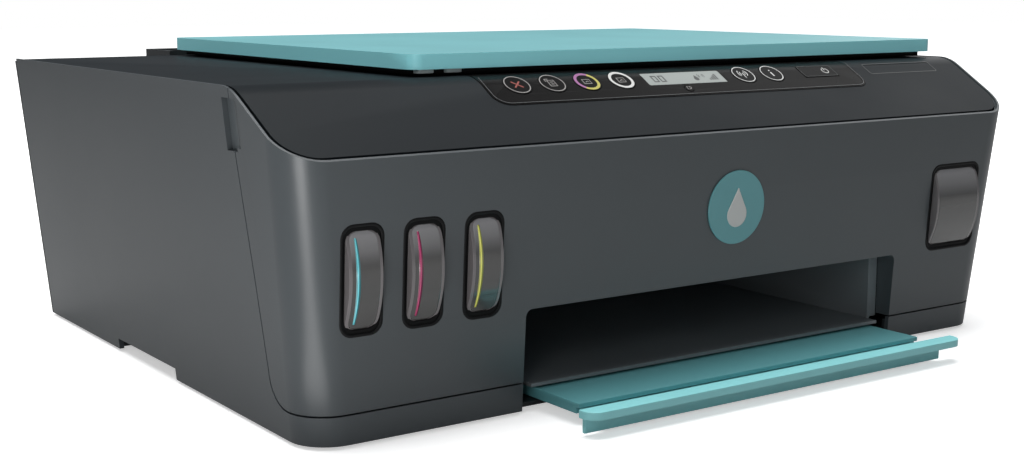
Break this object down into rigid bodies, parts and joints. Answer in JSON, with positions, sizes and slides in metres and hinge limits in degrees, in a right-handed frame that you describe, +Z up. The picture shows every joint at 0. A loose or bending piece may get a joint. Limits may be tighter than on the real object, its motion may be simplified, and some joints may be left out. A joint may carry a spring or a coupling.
{
  "type": "inkjet printer",
  "caption": "Low, wide ink tank printer with a flatbed scanner under a teal lid, sloping control panel, front ink windows and a sliding output tray.",
  "frame": {"origin": "on the table, in the middle of the footprint with the tray bar one step out", "axes": "+X to the right seen from the front, +Y to the back, +Z up"},
  "size_m": [0.447, 0.4171, 0.158],
  "materials": {
    "slate_shell": "fine satin grain",
    "dark_deck": "fine satin grain",
    "dark_shell": "matte",
    "teal": "satin",
    "gloss_black": "gloss",
    "lcd": "satin",
    "glass": "clear",
    "white_pad": "soft foam",
    "rubber": "matte",
    "steel": "brushed",
    "motor_steel": "brushed",
    "black_plastic": "matte",
    "circuit_board": "satin",
    "clear_film": "clear",
    "belt": "matte",
    "roller_rubber": "matte",
    "gear_plastic": "satin",
    "tank_cyan": "translucent, smoky",
    "cap_cyan": "satin",
    "tank_magenta": "translucent, smoky",
    "cap_magenta": "satin",
    "tank_yellow": "translucent, smoky",
    "cap_yellow": "satin",
    "tank_black": "translucent, smoky",
    "cap_black": "satin"
  },
  "bodies": {
    "printer_body": {"base_chassis": "dark_shell", "left_side_panel": "slate_shell", "right_side_panel": "slate_shell", "rear_panel": "dark_shell", "front_cover": "slate_shell", "exit_bay": "black_plastic", "rear_feeder": "dark_shell", "rubber_feet": "rubber", "case_screws": "steel", "badge": "teal", "mech_frame": "steel", "guide_rod": "steel", "encoder_strip": "clear_film", "carriage_belt": "belt", "carriage_motor": "motor_steel", "feed_motor": "motor_steel", "main_board": "circuit_board", "power_module": "black_plastic", "power_inlet": "black_plastic", "usb_socket": "steel", "platen": "black_plastic", "service_station": "black_plastic", "tank_cyan": "tank_cyan", "tank_magenta": "tank_magenta", "tank_yellow": "tank_yellow", "tank_black": "tank_black"},
    "scanner_unit": {"scanner_base": "dark_shell", "scanner_deck": "dark_deck", "scanner_glass": "glass", "scan_rail": "steel", "control_panel": "gloss_black", "lcd_display": "lcd"},
    "lid": {"lid_cover": "teal", "lid_pad": "white_pad"},
    "scan_head": {"scan_head": "black_plastic"},
    "output_tray": {"output_tray": "teal"},
    "tray_extender": {"tray_extender": "teal"},
    "paper_support": {"paper_support": "dark_shell"},
    "paper_guide_left": {"paper_guide_left": "dark_shell"},
    "paper_guide_right": {"paper_guide_right": "dark_shell"},
    "carriage": {"carriage": "black_plastic", "print_heads": "black_plastic"},
    "drive_pulley": {"drive_pulley": "motor_steel"},
    "feed_roller": {"feed_roller": "roller_rubber"},
    "exit_roller": {"exit_roller": "roller_rubber"},
    "idler_gear": {"idler_gear": "gear_plastic"},
    "feed_pinion": {"feed_pinion": "gear_plastic"},
    "pick_roller": {"pick_roller": "roller_rubber"},
    "key_cancel": {"key_cancel": "gloss_black"},
    "key_copy_id": {"key_copy_id": "gloss_black"},
    "key_copy_colour": {"key_copy_colour": "gloss_black"},
    "key_copy_black": {"key_copy_black": "gloss_black"},
    "key_wireless": {"key_wireless": "gloss_black"},
    "key_info": {"key_info": "gloss_black"},
    "key_resume": {"key_resume": "gloss_black"},
    "key_power": {"key_power": "gloss_black"},
    "cap_cyan": {"cap_cyan": "cap_cyan"},
    "cap_magenta": {"cap_magenta": "cap_magenta"},
    "cap_yellow": {"cap_yellow": "cap_yellow"},
    "cap_black": {"cap_black": "cap_black"}
  },
  "joints": [
    {"name": "scanner_unit_hinge", "type": "hinge", "parent": "printer_body", "child": "scanner_unit", "pos_m": [0, 0.163, 0.1444], "axis": [1, 0, 0], "range_deg": [-40, 0]},
    {"name": "lid_hinge", "type": "hinge", "parent": "scanner_unit", "child": "lid", "pos_m": [0, 0.16, 0.1523], "axis": [-1, 0, 0], "range_deg": [0, 85]},
    {"name": "scan_head_slide", "type": "slide", "parent": "scanner_unit", "child": "scan_head", "axis": [1, 0, 0], "range_m": [0, 0.33]},
    {"name": "key_cancel_press", "type": "slide", "parent": "scanner_unit", "child": "key_cancel", "axis": [0, 0.515, -0.8572], "range_m": [0, 0.0006], "stiffness_N_per_m": 600},
    {"name": "key_copy_id_press", "type": "slide", "parent": "scanner_unit", "child": "key_copy_id", "axis": [0, 0.515, -0.8572], "range_m": [0, 0.0006], "stiffness_N_per_m": 600},
    {"name": "key_copy_colour_press", "type": "slide", "parent": "scanner_unit", "child": "key_copy_colour", "axis": [0, 0.515, -0.8572], "range_m": [0, 0.0006], "stiffness_N_per_m": 600},
    {"name": "key_copy_black_press", "type": "slide", "parent": "scanner_unit", "child": "key_copy_black", "axis": [0, 0.515, -0.8572], "range_m": [0, 0.0006], "stiffness_N_per_m": 600},
    {"name": "key_wireless_press", "type": "slide", "parent": "scanner_unit", "child": "key_wireless", "axis": [0, 0.515, -0.8572], "range_m": [0, 0.0006], "stiffness_N_per_m": 600},
    {"name": "key_info_press", "type": "slide", "parent": "scanner_unit", "child": "key_info", "axis": [0, 0.515, -0.8572], "range_m": [0, 0.0006], "stiffness_N_per_m": 600},
    {"name": "key_resume_press", "type": "slide", "parent": "scanner_unit", "child": "key_resume", "axis": [0, 0.515, -0.8572], "range_m": [0, 0.0006], "stiffness_N_per_m": 600},
    {"name": "key_power_press", "type": "slide", "parent": "scanner_unit", "child": "key_power", "axis": [0, 0.515, -0.8572], "range_m": [0, 0.0006], "stiffness_N_per_m": 600},
    {"name": "output_tray_slide", "type": "slide", "parent": "printer_body", "child": "output_tray", "axis": [0, -1, 0], "range_m": [-0.041, 0.06]},
    {"name": "tray_extender_slide", "type": "slide", "parent": "output_tray", "child": "tray_extender", "axis": [0, -1, 0], "range_m": [0, 0.07]},
    {"name": "paper_support_hinge", "type": "hinge", "parent": "printer_body", "child": "paper_support", "pos_m": [0, 0.2056, 0.147], "axis": [1, 0, 0], "range_deg": [0, 151]},
    {"name": "paper_guide_left_slide", "type": "slide", "parent": "printer_body", "child": "paper_guide_left", "axis": [1, 0, 0], "range_m": [0, 0.058]},
    {"name": "paper_guide_right_slide", "type": "slide", "parent": "printer_body", "child": "paper_guide_right", "axis": [-1, 0, 0], "range_m": [0, 0.058]},
    {"name": "carriage_slide", "type": "slide", "parent": "printer_body", "child": "carriage", "axis": [-1, 0, 0], "range_m": [0, 0.28]},
    {"name": "drive_pulley_spin", "type": "hinge", "parent": "printer_body", "child": "drive_pulley", "pos_m": [-0.172, 0.057, 0.08], "axis": [0, 0, 1], "range_deg": [0, 2900]},
    {"name": "feed_roller_spin", "type": "hinge", "parent": "printer_body", "child": "feed_roller", "pos_m": [0, 0.066, 0.0425], "axis": [1, 0, 0], "continuous": true},
    {"name": "feed_pinion_spin", "type": "hinge", "parent": "printer_body", "child": "feed_pinion", "pos_m": [0, 0.09087, 0.05008], "axis": [1, 0, 0], "continuous": true},
    {"name": "idler_gear_spin", "type": "hinge", "parent": "printer_body", "child": "idler_gear", "pos_m": [0, 0.02797, 0.0432], "axis": [1, 0, 0], "continuous": true},
    {"name": "exit_roller_spin", "type": "hinge", "parent": "printer_body", "child": "exit_roller", "pos_m": [0, -0.006, 0.0444], "axis": [1, 0, 0], "continuous": true},
    {"name": "pick_roller_spin", "type": "hinge", "parent": "printer_body", "child": "pick_roller", "pos_m": [0, 0.1552, 0.1023], "axis": [1, 0, 0], "continuous": true},
    {"name": "cap_cyan_hinge", "type": "hinge", "parent": "printer_body", "child": "cap_cyan", "pos_m": [0, -0.1, 0.1], "axis": [-1, 0, 0], "range_deg": [0, 95]},
    {"name": "cap_magenta_hinge", "type": "hinge", "parent": "printer_body", "child": "cap_magenta", "pos_m": [0, -0.1, 0.1], "axis": [-1, 0, 0], "range_deg": [0, 95]},
    {"name": "cap_yellow_hinge", "type": "hinge", "parent": "printer_body", "child": "cap_yellow", "pos_m": [0, -0.1, 0.1], "axis": [-1, 0, 0], "range_deg": [0, 95]},
    {"name": "cap_black_hinge", "type": "hinge", "parent": "printer_body", "child": "cap_black", "pos_m": [0, -0.1, 0.1], "axis": [-1, 0, 0], "range_deg": [0, 95]}
  ],
  "couplings": [
    {"joint": "paper_guide_right_slide", "follows": "paper_guide_left_slide", "ratio": 1},
    {"joint": "drive_pulley_spin", "follows": "carriage_slide", "rad_per_m": 172.41},
    {"joint": "idler_gear_spin", "follows": "feed_roller_spin", "ratio": -1.1111},
    {"joint": "feed_pinion_spin", "follows": "feed_roller_spin", "ratio": -3.3333},
    {"joint": "exit_roller_spin", "follows": "feed_roller_spin", "ratio": 1.25},
    {"joint": "pick_roller_spin", "follows": "feed_roller_spin", "ratio": 0.6}
  ]
}
